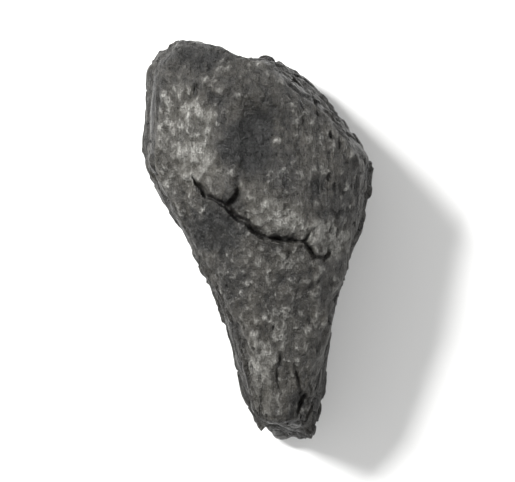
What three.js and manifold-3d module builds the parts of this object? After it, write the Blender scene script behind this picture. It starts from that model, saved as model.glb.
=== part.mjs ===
// A lump of wood charcoal: one charred, broken piece of a branch, 65 mm long. It has a broad
// head and a narrower tail, broken faces with worn edges, and ridges where the growth rings of
// the wood meet the surface. A shrinkage crack runs across its upper face, and drying checks run
// along the grain on its sides. It lies on a small flat spot of its underside.
//
// Millimetres, +Z up. Y runs along the grain, with the head at +Y. The origin is on the surface
// that the lump lies on, below the middle of its outline.

import * as THREE from "three";
import { mergeVertices } from "three/addons/utils/BufferGeometryUtils.js";
import Module from "manifold-3d";

const wasm = await Module();
wasm.setup();

// The block that the lump is carved from, and how finely its sides are divided
const WIDTH = 37;
const LENGTH = 65;
const HEIGHT = 27;
const CELLS_ACROSS = 32;
const CELLS_ALONG = 30;
const CELLS_UP = 22;

// The core line inside the lump: every point of the surface is found along a ray from it
const CORE_HEAD = { x: -0.5, y: 21, z: 13 };
const CORE_TAIL = { x: 4.2, y: -26, z: 9.5 };
const RAY_LENGTH = 45;
const RAY_STEPS = 26;

// How far worn edges are rounded, and how softly the tail grows out of the head
const EDGE_WEAR = 0.32;
const NECK_BLEND = 1.2;

// Broken faces of the head: a point on each face and the way that the face looks
const HEAD_FACES = [
  { name: "left side", at: [-17.7, 20, 10], facing: [-1, 0.02, 0.1] },
  { name: "left side, low", at: [-16.8, 14, 3.5], facing: [-0.72, -0.1, -0.68] },
  { name: "left flank", at: [-12.9, 2, 11], facing: [-0.88, -0.47, 0.08] },
  { name: "left flank, low", at: [-10.2, 2, 3], facing: [-0.66, -0.38, -0.66] },
  { name: "upper left corner", at: [-15.5, 29.1, 12], facing: [-0.72, 0.68, 0.12] },
  { name: "top end", at: [-4.6, 30.1, 12], facing: [0.24, 0.97, 0.06] },
  { name: "top end, low", at: [-4, 27.6, 3.4], facing: [0.1, 0.72, -0.68] },
  { name: "upper right", at: [7.1, 24.5, 12], facing: [0.6, 0.78, 0.1] },
  { name: "right shoulder", at: [14.4, 16.9, 12], facing: [0.83, 0.55, 0.04] },
  { name: "right side", at: [17, 7, 12], facing: [0.98, -0.18, 0.1] },
  { name: "right side, low", at: [14.6, 8, 3.2], facing: [0.7, 0.05, -0.72] },
  { name: "right flank", at: [14.6, -5, 12], facing: [0.94, -0.3, 0.12] },
  { name: "underside", at: [0, 9, 0.1], facing: [0.06, 0.02, -1] },
  { name: "underside, upper", at: [-2, 20, 0.4], facing: [-0.06, 0.16, -0.98] },
  { name: "underside, towards the tail", at: [3, -4, 0.4], facing: [0.05, -0.15, -0.98] },
  { name: "bright left facet", at: [-12.5, 17, 22.6], facing: [-0.4, -0.03, 0.91] },
  { name: "bevel at the peak", at: [-10.5, 27.5, 22.8], facing: [-0.12, 0.5, 0.86] },
  { name: "crown", at: [3, 13, 26.8], facing: [0.04, 0.1, 1] },
  { name: "crown, right", at: [12, 9, 25], facing: [0.4, 0.06, 0.91] },
  { name: "crown, upper right", at: [9, 21, 23.8], facing: [0.42, 0.46, 0.78] },
  { name: "shoulder below the crack", at: [-8.5, 0.5, 21.6], facing: [-0.46, -0.24, 0.86] },
  { name: "slope to the tail", at: [2, -4, 24.6], facing: [-0.03, -0.27, 0.96] },
  { name: "right rim", at: [13.2, -4, 21], facing: [0.66, -0.18, 0.73] },
  { name: "joint with the tail", at: [4, -25, 9], facing: [0, -1, 0] },
];

// Broken faces of the tail
const TAIL_FACES = [
  { name: "left wall", at: [-3.5, -19, 9], facing: [-0.97, -0.2, 0.1] },
  { name: "right wall", at: [9.6, -20, 9], facing: [0.98, -0.09, 0.12] },
  { name: "broken end", at: [6.5, -32.2, 9], facing: [-0.2, -0.96, 0.2] },
  { name: "corner of the end", at: [-0.6, -29.2, 9], facing: [-0.77, -0.62, 0.1] },
  { name: "left top", at: [0.5, -21, 18], facing: [-0.42, -0.14, 0.9] },
  { name: "right top", at: [7.5, -21, 17.8], facing: [0.44, -0.13, 0.89] },
  { name: "left underside", at: [-1, -20, 2.4], facing: [-0.5, -0.06, -0.86] },
  { name: "right underside", at: [7.5, -20, 2], facing: [0.4, -0.08, -0.91] },
  { name: "joint with the head", at: [0, 12, 12], facing: [0, 1, 0] },
];

// Slow swells that keep the broken faces from being quite flat: wavelength and height
const WAVES = 7;
const GOLDEN_ANGLE = Math.PI * (3 - Math.sqrt(5));
const BROAD_SWELL = { wavelength: 27, height: 0.42, phase: 1.3 };
const SMALL_SWELL = { wavelength: 9, height: 0.2, phase: 4.1 };

// Growth rings: cylinders round a pith that lies outside the lump and leans with the tail
const PITH = { x: -34, z: -24, lean: -0.1 };
const RING_WIDTH = 3.1;
const RING_EDGE = 0.75;
const RING_RIDGE = 0.5;
const RING_RIDGE_ON_TOP = 0.2;
const RING_WEAR = { usual: 0.7, least: 0.15 };
const RING_WANDER = { wavelength: 31, height: 1.3, phase: 2.2 };
const GOOD_YEARS = { wavelength: 9.7, height: 1.1 };
const RING_FADE = { wavelength: 19, height: 0.5, phase: 3.3 };

// The heights between which the sides of the lump turn into its upper face
const UPPER_FACE = { from: 14, to: 21 };

// The hollow between the bright left facet and the crown: it falls over twice the given width
// round x, and rises again over the rest of its reach
const HOLLOW = { x: -3.4, y: 14.5, reach: 8.5, halfLength: 8, depth: 1.6, fall: 2.6 };

// The dip in the head's end, to the right of the peak, where a flake broke off: it deepens over
// the given stretch of y
const END_DIP = { x: -2.6, halfWidth: 4, depth: 0.9, from: 22, to: 28 };

// Fibres broken off at uneven lengths at the tail's end
const SPLINTERS = { wavelength: 4.4, height: 0.6, from: 25, to: 29, phase: 0.7 };

// Cracks: the route as [u, v, width, depth], where u and v are x and y on the upper face and the
// underside, y and z on the left and right sides, and x and z on the end of the head
const SHRINKAGE_CRACK = [
  [-10.6, 9.8, 0.3, 0.4],
  [-9.9, 8.1, 0.7, 1.2],
  [-8.4, 6.4, 0.9, 1.8],
  [-6.6, 5.5, 1, 2.1],
  [-4.6, 4.5, 1.1, 2.4],
  [-3, 2.7, 1, 2.4],
  [-0.8, 0.6, 0.9, 2.4],
  [1, -0.4, 0.8, 2.2],
  [4, -0.7, 0.8, 2],
  [6.9, -0.8, 0.8, 1.8],
  [8, -2.1, 0.8, 1.6],
  [9.2, -3.5, 1, 1.5],
  [10.8, -3.6, 0.9, 1],
  [11.7, -2.5, 0.4, 0.4],
];
const CRACK_BRANCH = [
  [-4.6, 4.9, 1.1, 1.6],
  [-3.5, 6.9, 1, 1.1],
  [-2.9, 8.4, 0.3, 0.3],
];
const NOTCH_ABOVE_THE_CRACK = [
  [7, -0.9, 0.8, 1.5],
  [7.7, 0.2, 0.8, 1],
  [8, 1.2, 0.3, 0.3],
];
const TAIL_CHECK = [
  [5.4, -20.6, 0.3, 0.3],
  [6, -22.4, 0.8, 0.9],
  [6.8, -24.4, 0.5, 0.6],
  [7.3, -26, 1, 1.2],
  [6.7, -28, 0.8, 0.9],
  [6.5, -29.2, 0.3, 0.3],
];
const SHORT_TAIL_CHECK = [
  [2.9, -21.2, 0.3, 0.3],
  [3, -23, 0.8, 0.9],
  [3.3, -24.8, 0.3, 0.3],
];
const LEFT_SIDE_CHECK = [
  [25, 13.4, 0.3, 0.4],
  [20, 12.6, 1, 1.5],
  [13, 13.5, 1.3, 2.2],
  [6, 12.4, 1, 1.6],
  [0, 12.9, 0.3, 0.4],
];
const RIGHT_SIDE_CHECK = [
  [15, 9.6, 0.3, 0.4],
  [9.5, 10.5, 1, 1.5],
  [2, 10, 1.2, 1.9],
  [-5, 10.9, 0.9, 1.2],
  [-9.5, 10.5, 0.3, 0.4],
];
const UNDERSIDE_CHECK = [
  [-7.4, 24, 0.3, 0.4],
  [-6.4, 18, 1.1, 1.6],
  [-7.2, 10.5, 1.3, 2],
  [-5.9, 4, 0.9, 1.2],
  [-6.2, -0.5, 0.3, 0.4],
];
const HEAD_END_CHECK = [
  [-11, 7, 0.3, 0.4],
  [-6.5, 10.6, 1.1, 1.5],
  [-1.2, 13.6, 1.2, 1.7],
  [4, 17.4, 0.3, 0.4],
];
const CRACK_LIFT = 1.2;
const CORE_POINTS = { x: 2, y: 15, z: 10 };

const sum = (values) => values.reduce((total, value) => total + value, 0);
const smoothstep = (x, from, to) => THREE.MathUtils.smoothstep(x, from, to);

// A swell is a sum of plane waves whose directions are spread evenly over a sphere.
function swell(p, { wavelength, height, phase }) {
  let total = 0;
  for (let i = 0; i < WAVES; i++) {
    const rise = 1 - (2 * i + 1) / WAVES;
    const flat = Math.sqrt(1 - rise * rise);
    const turn = i * GOLDEN_ANGLE + phase;
    const along = p.x * flat * Math.cos(turn) + p.y * flat * Math.sin(turn) + p.z * rise;
    total += Math.sin((2 * Math.PI * along) / wavelength + phase * (i + 1));
  }
  return (height * total) / Math.sqrt(WAVES);
}

// The soft maximum and minimum of several distances, rounded over the given radius
function softMax(distances, radius) {
  const top = Math.max(...distances);
  return top + radius * Math.log(sum(distances.map((d) => Math.exp((d - top) / radius))));
}
const softMin = (distances, radius) => -softMax(distances.map((d) => -d), radius);

// The distance from a point to the outside of a set of broken faces, negative inside them
function insideFaces(faces, p) {
  return softMax(
    faces.map(({ at, facing }) => {
      const [nx, ny, nz] = facing;
      const reach = Math.hypot(nx, ny, nz);
      return ((p.x - at[0]) * nx + (p.y - at[1]) * ny + (p.z - at[2]) * nz) / reach;
    }),
    EDGE_WEAR,
  );
}

// Ridges of the growth rings: each ring rises slowly and ends in a steeper edge. Good years
// grew wider rings, and the ridges are worn low on the upper face and in patches.
function ringRidge(p) {
  const across = p.x - PITH.x - PITH.lean * p.y;
  const radius = Math.hypot(across, p.z - PITH.z) + swell(p, RING_WANDER);
  const grown = radius + GOOD_YEARS.height * Math.sin((2 * Math.PI * radius) / GOOD_YEARS.wavelength);
  const share = grown / RING_WIDTH - Math.floor(grown / RING_WIDTH);
  const onTop = smoothstep(p.z, UPPER_FACE.from, UPPER_FACE.to);
  const height = THREE.MathUtils.lerp(RING_RIDGE, RING_RIDGE_ON_TOP, onTop);
  const worn = THREE.MathUtils.clamp(RING_WEAR.usual + swell(p, RING_FADE), RING_WEAR.least, 1);
  const profile = smoothstep(share, 0, RING_EDGE) - smoothstep(share, RING_EDGE, 1);
  return height * worn * (profile - 0.5);
}

// The hollow falls away from the left facet and rises gently to the right.
function hollow(p) {
  const across = smoothstep(p.x, HOLLOW.x - HOLLOW.fall, HOLLOW.x + HOLLOW.fall)
    * (1 - smoothstep(p.x, HOLLOW.x + HOLLOW.fall, HOLLOW.x + HOLLOW.reach));
  const along = 1 - smoothstep(Math.abs(p.y - HOLLOW.y), HOLLOW.halfLength * 0.5, HOLLOW.halfLength);
  return HOLLOW.depth * across * along * smoothstep(p.z, UPPER_FACE.from, UPPER_FACE.to);
}

// The dip is deepest in its middle and runs out to both sides.
function endDip(p) {
  const across = 1 - smoothstep(Math.abs(p.x - END_DIP.x), 0, END_DIP.halfWidth);
  return END_DIP.depth * across * smoothstep(p.y, END_DIP.from, END_DIP.to);
}

// Fibres of the tail's end stand out by different lengths.
function splinters(p) {
  const fibre = { x: p.x, y: 0, z: p.z };
  return swell(fibre, SPLINTERS) * smoothstep(-p.y, SPLINTERS.from, SPLINTERS.to);
}

// The signed distance to the lump's surface, negative inside
function lumpDistance(p) {
  const head = insideFaces(HEAD_FACES, p);
  const tail = insideFaces(TAIL_FACES, p) + splinters(p);
  const form = softMin([head, tail], NECK_BLEND);
  const worn = swell(p, BROAD_SWELL) + swell(p, SMALL_SWELL) + ringRidge(p);
  return form + worn + hollow(p) + endDip(p);
}

// The first crossing of the surface along a ray, by halving
function surfaceAlong(start, direction, length) {
  let inside = 0;
  let outside = length;
  for (let i = 0; i < RAY_STEPS; i++) {
    const middle = (inside + outside) / 2;
    const p = start.clone().addScaledVector(direction, middle);
    if (lumpDistance(p) < 0) inside = middle;
    else outside = middle;
  }
  return start.clone().addScaledVector(direction, inside);
}

// Carves the block: each point of its skin moves along its ray from the core to the surface.
function carvedBlock() {
  const block = new THREE.BoxGeometry(WIDTH, LENGTH, HEIGHT, CELLS_ACROSS, CELLS_ALONG, CELLS_UP);
  block.deleteAttribute("normal");
  block.deleteAttribute("uv");
  const skin = mergeVertices(block, 1e-4);
  const position = skin.getAttribute("position");
  const tail = new THREE.Vector3(CORE_TAIL.x, CORE_TAIL.y, CORE_TAIL.z);
  const head = new THREE.Vector3(CORE_HEAD.x, CORE_HEAD.y, CORE_HEAD.z);
  for (let i = 0; i < position.count; i++) {
    const q = new THREE.Vector3().fromBufferAttribute(position, i);
    const start = tail.clone().lerp(head, 0.5 + q.y / LENGTH);
    const direction = new THREE.Vector3(q.x, q.y - start.y, q.z).normalize();
    const p = surfaceAlong(start, direction, RAY_LENGTH);
    position.setXYZ(i, p.x, p.y, Math.max(p.z, 0));
  }
  return skin;
}

// The faces that cracks are cut into: the way out of the lump, and a point inside it for the
// two coordinates of a route
const CRACKED_FACES = {
  upper: { out: new THREE.Vector3(0, 0, 1), inside: (x, y) => new THREE.Vector3(x, y, CORE_POINTS.z) },
  under: { out: new THREE.Vector3(0, 0, -1), inside: (x, y) => new THREE.Vector3(x, y, CORE_POINTS.z) },
  left: { out: new THREE.Vector3(-1, 0, 0), inside: (y, z) => new THREE.Vector3(CORE_POINTS.x, y, z) },
  right: { out: new THREE.Vector3(1, 0, 0), inside: (y, z) => new THREE.Vector3(CORE_POINTS.x, y, z) },
  headEnd: { out: new THREE.Vector3(0, 1, 0), inside: (x, z) => new THREE.Vector3(x, CORE_POINTS.y, z) },
};
const CRACKS = [
  { face: "upper", route: SHRINKAGE_CRACK },
  { face: "upper", route: CRACK_BRANCH },
  { face: "upper", route: NOTCH_ABOVE_THE_CRACK },
  { face: "upper", route: TAIL_CHECK },
  { face: "upper", route: SHORT_TAIL_CHECK },
  { face: "left", route: LEFT_SIDE_CHECK },
  { face: "right", route: RIGHT_SIDE_CHECK },
  { face: "under", route: UNDERSIDE_CHECK },
  { face: "headEnd", route: HEAD_END_CHECK },
];

// A crack is a wedge along its route, with its edge down in the lump and its back outside it.
function crackWedge({ face, route }) {
  const { out, inside } = CRACKED_FACES[face];
  const corners = [];
  const triangles = [];
  route.forEach(([u, v, width, depth], i) => {
    const before = inside(...route[Math.max(i - 1, 0)]);
    const after = inside(...route[Math.min(i + 1, route.length - 1)]);
    const side = out.clone().cross(after.sub(before)).normalize();
    const half = (width / 2) * ((depth + CRACK_LIFT) / depth);
    const surface = surfaceAlong(inside(u, v), out, RAY_LENGTH);
    const back = surface.clone().addScaledVector(out, CRACK_LIFT);
    corners.push(...back.clone().addScaledVector(side, half).toArray());
    corners.push(...back.clone().addScaledVector(side, -half).toArray());
    corners.push(...surface.clone().addScaledVector(out, -depth).toArray());
    if (i === 0) return;
    const last = 3 * (i - 1);
    const next = 3 * i;
    for (let k = 0; k < 3; k++) {
      const m = (k + 1) % 3;
      triangles.push(last + k, last + m, next + m, last + k, next + m, next + k);
    }
  });
  const end = 3 * (route.length - 1);
  triangles.push(0, 2, 1, end, end + 1, end + 2);
  return solidOf(new Float32Array(corners), new Uint32Array(triangles));
}

// The solid with the given corners and triangles, turned so that its skin faces outwards
function solidOf(vertProperties, triVerts) {
  const solid = new wasm.Manifold(new wasm.Mesh({ numProp: 3, vertProperties, triVerts }));
  if (solid.volume() > 0) return solid;
  const turned = triVerts.slice();
  for (let i = 0; i < turned.length; i += 3) {
    [turned[i + 1], turned[i + 2]] = [turned[i + 2], turned[i + 1]];
  }
  return new wasm.Manifold(new wasm.Mesh({ numProp: 3, vertProperties, triVerts: turned }));
}

function geometryOf(solid) {
  const { numProp, numVert, vertProperties, triVerts } = solid.getMesh();
  const corners = new Float32Array(numVert * 3);
  for (let i = 0; i < numVert; i++) {
    corners.set(vertProperties.subarray(i * numProp, i * numProp + 3), i * 3);
  }
  const geometry = new THREE.BufferGeometry();
  geometry.setAttribute("position", new THREE.BufferAttribute(corners, 3));
  geometry.setIndex(new THREE.BufferAttribute(triVerts, 1));
  geometry.computeVertexNormals();
  return geometry;
}

// The whole lump, with the middle of its outline moved to the origin
function charcoalLump() {
  const skin = carvedBlock();
  const corners = new Float32Array(skin.getAttribute("position").array);
  let solid = solidOf(corners, new Uint32Array(skin.index.array));
  for (const crack of CRACKS) {
    solid = solid.subtract(crackWedge(crack));
  }
  const geometry = geometryOf(solid);
  geometry.computeBoundingBox();
  const middle = geometry.boundingBox.getCenter(new THREE.Vector3());
  geometry.translate(-middle.x, -middle.y, 0);
  const charcoal = new THREE.MeshStandardMaterial({ color: 0x34332f, roughness: 0.6, metalness: 0 });
  const mesh = new THREE.Mesh(geometry, charcoal);
  mesh.name = "charcoal_lump";
  return mesh;
}

const lump = new THREE.Group();
lump.add(charcoalLump());

export default lump;
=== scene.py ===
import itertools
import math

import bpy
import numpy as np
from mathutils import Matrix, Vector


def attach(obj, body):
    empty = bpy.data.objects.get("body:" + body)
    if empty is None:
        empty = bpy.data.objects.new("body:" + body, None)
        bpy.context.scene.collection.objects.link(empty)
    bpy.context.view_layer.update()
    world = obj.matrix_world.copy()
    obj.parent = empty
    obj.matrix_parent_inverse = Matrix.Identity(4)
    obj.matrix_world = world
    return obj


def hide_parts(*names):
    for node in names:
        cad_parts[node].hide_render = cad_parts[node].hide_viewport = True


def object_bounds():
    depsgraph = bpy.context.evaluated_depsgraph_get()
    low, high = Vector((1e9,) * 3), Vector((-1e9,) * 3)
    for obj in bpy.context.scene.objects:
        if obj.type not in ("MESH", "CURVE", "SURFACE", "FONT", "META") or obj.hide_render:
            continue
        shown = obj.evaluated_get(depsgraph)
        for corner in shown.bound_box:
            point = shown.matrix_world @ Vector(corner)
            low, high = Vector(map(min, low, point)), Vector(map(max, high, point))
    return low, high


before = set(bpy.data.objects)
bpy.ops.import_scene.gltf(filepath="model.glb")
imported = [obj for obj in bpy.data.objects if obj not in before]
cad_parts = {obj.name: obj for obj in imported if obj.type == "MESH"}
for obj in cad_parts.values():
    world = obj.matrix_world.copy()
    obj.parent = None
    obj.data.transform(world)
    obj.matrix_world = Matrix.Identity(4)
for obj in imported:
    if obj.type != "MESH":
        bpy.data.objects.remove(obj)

# A lump of wood charcoal, 65 mm long, lying on a pale floor and seen from straight above.
# The lump is one closed skin. Its form is found on rays from a core line, like the solid that it
# replaces, and then its rings, fibres, chips, pores and cracks are carved into it.
# Lengths in this file are millimetres, and MM turns them to metres where meshes are made.

CAD_LOW, CAD_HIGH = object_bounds()
MM = 0.001

# The block that the skin is carved from, and how finely its sides are divided
WIDTH = 37
LENGTH = 65
HEIGHT = 27
CELLS = (130, 172, 80)

# The rows of the block lie closer together round the shrinkage crack
CRACK_ZONE = {"y": 3.5, "reach": 8, "denser": 1.5}
CROWD_SAMPLES = 600

# The core line inside the lump: every point of the surface is found along a ray from it
CORE_HEAD = np.array([-0.5, 21, 13])
CORE_TAIL = np.array([4.2, -26, 9.5])
RAY_LENGTH = 45
RAY_STEPS = 26

# How many times the normals at sharp edges are blended with their neighbours
EASING_ROUNDS = 8

# How far worn edges are rounded, and how softly the tail grows out of the head
EDGE_WEAR = 0.32
NECK_BLEND = 1.2

# Broken faces of the head: a point on each face and the way that the face looks
HEAD_FACES = {
    "left side": ((-17.7, 20, 10), (-1, 0.02, 0.1)),
    "left side, low": ((-16.8, 14, 3.5), (-0.72, -0.1, -0.68)),
    "left flank": ((-12.9, 2, 11), (-0.88, -0.47, 0.08)),
    "left flank, low": ((-10.2, 2, 3), (-0.66, -0.38, -0.66)),
    "upper left corner": ((-15.5, 29.1, 12), (-0.72, 0.68, 0.12)),
    "top end": ((-4.6, 30.1, 12), (0.24, 0.97, 0.06)),
    "top end, low": ((-4, 27.6, 3.4), (0.1, 0.72, -0.68)),
    "upper right": ((7.1, 24.5, 12), (0.6, 0.78, 0.1)),
    "right shoulder": ((14.4, 16.9, 12), (0.83, 0.55, 0.04)),
    "right side": ((17, 7, 12), (0.98, -0.18, 0.1)),
    "right side, low": ((14.6, 8, 3.2), (0.7, 0.05, -0.72)),
    "right flank": ((14.6, -5, 12), (0.94, -0.3, 0.12)),
    "underside": ((0, 9, 0.1), (0.06, 0.02, -1)),
    "underside, upper": ((-2, 20, 0.4), (-0.06, 0.16, -0.98)),
    "underside, towards the tail": ((3, -4, 0.4), (0.05, -0.15, -0.98)),
    "bright left facet": ((-12.5, 17, 22.6), (-0.4, -0.03, 0.91)),
    "bevel at the peak": ((-10.5, 27.5, 22.8), (-0.12, 0.5, 0.86)),
    "crown": ((3, 13, 26.8), (0.04, 0.1, 1)),
    "crown, right": ((12, 9, 25), (0.4, 0.06, 0.91)),
    "crown, upper right": ((9, 21, 23.8), (0.42, 0.46, 0.78)),
    "shoulder below the crack": ((-8.5, 0.5, 21.6), (-0.46, -0.24, 0.86)),
    "slope to the tail": ((2, -4, 24.6), (-0.03, -0.27, 0.96)),
    "right rim": ((13.2, -4, 21), (0.66, -0.18, 0.73)),
    "joint with the tail": ((4, -25, 9), (0, -1, 0)),
}

# Broken faces of the tail
TAIL_FACES = {
    "left wall": ((-3.5, -19, 9), (-0.97, -0.2, 0.1)),
    "right wall": ((9.6, -20, 9), (0.98, -0.09, 0.12)),
    "broken end": ((6.5, -32.2, 9), (-0.2, -0.96, 0.2)),
    "corner of the end": ((-0.6, -29.2, 9), (-0.77, -0.62, 0.1)),
    "left top": ((0.5, -21, 18), (-0.42, -0.14, 0.9)),
    "right top": ((7.5, -21, 17.8), (0.44, -0.13, 0.89)),
    "left underside": ((-1, -20, 2.4), (-0.5, -0.06, -0.86)),
    "right underside": ((7.5, -20, 2), (0.4, -0.08, -0.91)),
    "joint with the head": ((0, 12, 12), (0, 1, 0)),
}

# Slow swells that keep the broken faces from being quite flat: wavelength, height and phase
WAVES = 7
GOLDEN_ANGLE = math.pi * (3 - math.sqrt(5))
BROAD_SWELL = (27, 0.42, 1.3)
SMALL_SWELL = (9, 0.2, 4.1)

# Growth rings: cylinders round a pith that lies outside the lump and leans with the tail. Where
# they wander and fade, the numbers are a swell's wavelength, height and phase
PITH = {"x": -34, "z": -24, "lean": -0.1}
RING_WIDTH = 3.1
RING_EDGE = 0.75
RING_RIDGE = 0.5
RING_RIDGE_ON_TOP = 0.2
RING_WEAR = {"usual": 0.7, "least": 0.15}
RING_WANDER = (31, 1.3, 2.2)
GOOD_YEARS = {"wavelength": 9.7, "height": 1.1}
RING_FADE = (19, 0.5, 3.3)

# The heights between which the sides of the lump turn into its upper face
UPPER_FACE = (14, 21)

# The hollow between the bright left facet and the crown: it falls over twice the given width
# round x, and rises again over the rest of its reach
HOLLOW = {"x": -3.4, "y": 14.5, "reach": 8.5, "half_length": 8, "depth": 1.6, "fall": 2.6}

# The dip in the head's end, to the right of the peak, where a flake broke off: it deepens over
# the given stretch of y
END_DIP = {"x": -2.6, "half_width": 4, "depth": 0.9, "stretch": (22, 28)}

# Fibres broken off at uneven lengths at the tail's end: wavelength, height and phase
SPLINTERS = (4.4, 0.6, 0.7)
SPLINTERS_BETWEEN = (25, 29)

# Cracks: the face that each is in, and its route as (u, v, width, depth), where u and v are x and
# y on the upper face and the underside, y and z on the sides, and x and z on the head's end
CRACKS = {
    "shrinkage crack": ("upper", [
        (-10.6, 9.8, 0.3, 0.4),
        (-9.9, 8.1, 0.7, 1.2),
        (-8.4, 6.4, 0.9, 1.8),
        (-6.6, 5.5, 1, 2.1),
        (-4.6, 4.5, 1.1, 2.4),
        (-3, 2.7, 1, 2.4),
        (-0.8, 0.6, 0.9, 2.4),
        (1, -0.4, 0.8, 2.2),
        (4, -0.7, 0.8, 2),
        (6.9, -0.8, 0.8, 1.8),
        (8, -2.1, 0.8, 1.6),
        (9.2, -3.5, 1, 1.5),
        (10.8, -3.6, 0.9, 1),
        (11.7, -2.5, 0.4, 0.4),
    ]),
    "crack branch": ("upper", [
        (-4.6, 4.9, 1.1, 1.6),
        (-3.5, 6.9, 1, 1.1),
        (-2.9, 8.4, 0.3, 0.3),
    ]),
    "notch above the crack": ("upper", [
        (7, -0.9, 0.8, 1.5),
        (7.7, 0.2, 0.8, 1),
        (8, 1.2, 0.3, 0.3),
    ]),
    "tail check": ("upper", [
        (5.4, -20.6, 0.3, 0.3),
        (6, -22.4, 0.8, 0.9),
        (6.8, -24.4, 0.5, 0.6),
        (7.3, -26, 1, 1.2),
        (6.7, -28, 0.8, 0.9),
        (6.5, -29.2, 0.3, 0.3),
    ]),
    "short tail check": ("upper", [
        (2.9, -21.2, 0.3, 0.3),
        (3, -23, 0.8, 0.9),
        (3.3, -24.8, 0.3, 0.3),
    ]),
    "left side check": ("left", [
        (25, 13.4, 0.3, 0.4),
        (20, 12.6, 1, 1.5),
        (13, 13.5, 1.3, 2.2),
        (6, 12.4, 1, 1.6),
        (0, 12.9, 0.3, 0.4),
    ]),
    "right side check": ("right", [
        (15, 9.6, 0.3, 0.4),
        (9.5, 10.5, 1, 1.5),
        (2, 10, 1.2, 1.9),
        (-5, 10.9, 0.9, 1.2),
        (-9.5, 10.5, 0.3, 0.4),
    ]),
    "underside check": ("under", [
        (-7.4, 24, 0.3, 0.4),
        (-6.4, 18, 1.1, 1.6),
        (-7.2, 10.5, 1.3, 2),
        (-5.9, 4, 0.9, 1.2),
        (-6.2, -0.5, 0.3, 0.4),
    ]),
    "head end check": ("head end", [
        (-11, 7, 0.3, 0.4),
        (-6.5, 10.6, 1.1, 1.5),
        (-1.2, 13.6, 1.2, 1.7),
        (4, 17.4, 0.3, 0.4),
    ]),
}

# The way out of each cracked face, and which coordinates a route on it counts
FACE_OUT = {
    "upper": ((0, 0, 1), (0, 1)),
    "under": ((0, 0, -1), (0, 1)),
    "left": ((-1, 0, 0), (1, 2)),
    "right": ((1, 0, 0), (1, 2)),
    "head end": ((0, 1, 0), (0, 2)),
}
CRACK_WANDER = {"size": 2.1, "shift": 0.45}
CRACK_RAGGED = {"size": 0.9, "shift": 0.12}
CRACK_STEEP = 1.7

# How squarely a face has to look the crack's way to be cut by it, and how deep a crack is where
# the painted shade inside it is darkest
CRACK_FACING = (0.05, 0.4)
CRACK_DARKEST = 1.5

# Patches of the upper face that the photograph shows lighter or darker than the rest, partly
# the lump's own tone and partly painted light and shade: painted shade in the hollow and below
# the crack, and painted highlights on the left facet, above the crack's start and on its lips.
# x, y, half width, half length, turn in degrees, and how light (above 0) or dark (below 0)
TONE_AND_LIGHT_PATCHES = {
    "bright left facet": (-12, 16.6, 5.4, 8.6, 0, 0.45),
    "brightest above the crack's start": (-9.2, 11.9, 4.6, 3.8, 0, 0.75),
    "band of the left facet": (-9.7, 19.3, 3.2, 1.5, -20, 0.7),
    "peak": (-11, 28.8, 6, 3, 0, -0.8),
    "lip above the crack": (2.2, 3.1, 5.4, 3, -18, 0.85),
    "lip at the crack's right end": (11, -0.6, 4.4, 3.6, -10, 1.5),
    "left edge": (-15.5, 8.5, 1.6, 7, 22, 0.3),
    "below the crack's left part": (-7, 0.8, 4.6, 3.8, -25, -1),
    "hollow": (-1.4, 14.9, 4.2, 6, -5, -1.6),
    "shade where the crack branches": (-4.4, 6.2, 2, 2.4, 0, -0.7),
    "hollow, upper": (0, 22, 4.5, 5, 0, -0.3),
    "slope and tail": (4, -14, 9, 16, 0, 0.14),
    "slope": (4, -4.4, 5, 2, 0, 0.2),
    "band across the slope": (5, -8.6, 6.5, 1.8, 0, -0.15),
    "left of the tail": (0.2, -23.5, 2.8, 7.5, 6, 1.35),
    "tail's middle": (4.4, -16, 4.4, 4.4, 0, 0.35),
    "right rim": (11.6, -16, 1, 8, -8, 0.3),
}
PATCH_BORDER = {"size": 3.2, "shift": 1.6, "fade": (0.55, 1.15)}

# How squarely a face looks along the grain to be end grain, and up to be the upper face
END_GRAIN_FACING = (0.6, 0.85)
UPPER_FACING = (0.2, 0.6)

# How far the wear of an edge between broken faces reaches
EDGE_REACH = 1.1

# Columns that the wood splits into along its grain: their width, how unequal their heights are,
# the least and the further random length that they snap into and how far the snaps are
# staggered, how they bend, how ragged their ends and how tilted their faces are, and how wide
# the seams between them are
COLUMNS = {
    "width": 2.7,
    "stand_out": 0.8,
    "shortest": 5,
    "longer": 11,
    "stagger": 7,
    "bend": 0.9,
    "bend_size": (7, 24, 7),
    "ragged": 0.4,
    "ragged_size": 1.6,
    "tilt": 0.5,
    "seam": (0.06, 0.36),
}

# The pieces of a column draw their hashed numbers from cells that lie this far apart
CELLS_TO_NEXT_PIECE = 3

# Brittle chips: how far apart they lie, how steep and how deep they are, and how far one may
# stand out. They lie near the edges, in stretches of the given size
CHIPS = {"size": 4.1, "tilt": 0.5, "depth": 0.7, "stand_out": 0.1}
CHIPPED_EDGES = {"size": 5, "shift": 0.45, "edge": (0.35, 0.75)}

# Fibres: their size across, along and up, and how they wander
FIBRE_SIZE = (1.1, 14, 1.1)
FINE_FIBRE_SIZE = (0.62, 8, 0.62)
FIBRE_WANDER = {"size": (6, 14, 6), "shift": 1.5, "way": (1, 0, 0.6)}
FINE_FIBRE_SHARE = 0.6

# Fine growth rings: how many there are to each ridge of the sides and of the broken ends, and
# at what share of its width a ring is highest
FINE_RINGS = {"side": 2, "end": 1.6, "peak": 0.8}

# The broken ends: the height of a ring, its dark late wood, the rays that run outwards, and the
# radial checks, which are drawn out beside the rays
END_RING_HEIGHT = 0.35
LATE_WOOD = {"begins": (0.72, 0.9), "ends": (0.95, 1), "dark": 0.6}
RAYS = {"length": 7, "width": 0.9, "along": 3, "height": 0.09}
RADIAL_CHECKS = {"drawn_out": (0.6, 0.2, 1), "width": (0.02, 0.09), "depth": 0.6}

# Crumbs of a rubbed face, and finer ones between them: how far apart they lie, and their least
# and further random height
CRUMBS = {"size": 1.9, "least": 0.3, "more": 1.2}
FINE_CRUMBS = {"size": 0.95, "height": 0.45, "least": 0.3}

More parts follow.
